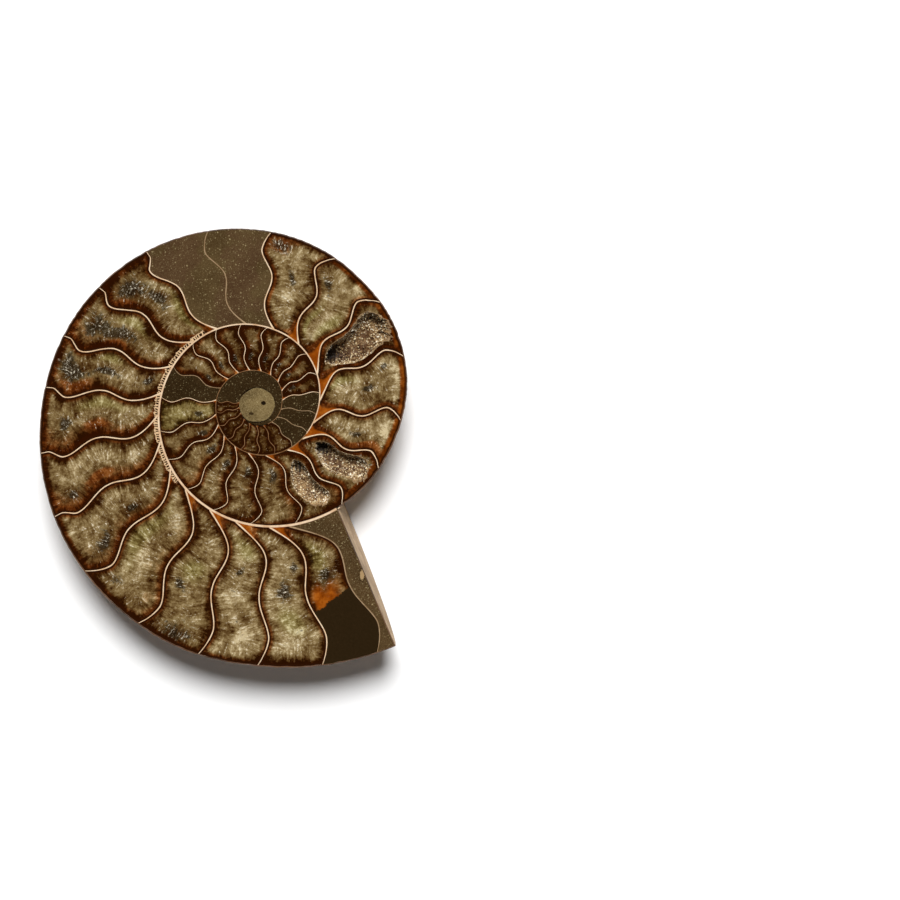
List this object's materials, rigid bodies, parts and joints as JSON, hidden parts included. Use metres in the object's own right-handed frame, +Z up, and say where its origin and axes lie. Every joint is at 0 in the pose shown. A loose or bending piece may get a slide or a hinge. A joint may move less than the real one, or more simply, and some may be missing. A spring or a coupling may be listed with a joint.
{
  "type": "polished ammonite half",
  "caption": "Sawn and polished half of a coiled fossil shell: a flat face with sinuous chamber walls and open crystal hollows, over a domed, ribbed back.",
  "frame": {"origin": "middle of the half's box, on the surface that its domed back lies on", "axes": "+Z up out of the polished face, +Y along the longest side, the mouth's broken wall faces +X"},
  "size_m": [0.1006, 0.12, 0.0166],
  "materials": {
    "fossil_shell": "satin",
    "calcite": "gloss",
    "mudstone": "gloss",
    "chamber_wall": "gloss",
    "druse": "gloss"
  },
  "bodies": {
    "root": {"ammonite_half": "fossil_shell", "upper_hollow_crystals": "druse", "lower_hollow_crystals": "druse", "inner_hollow_crystals": "druse"}
  },
  "joints": []
}
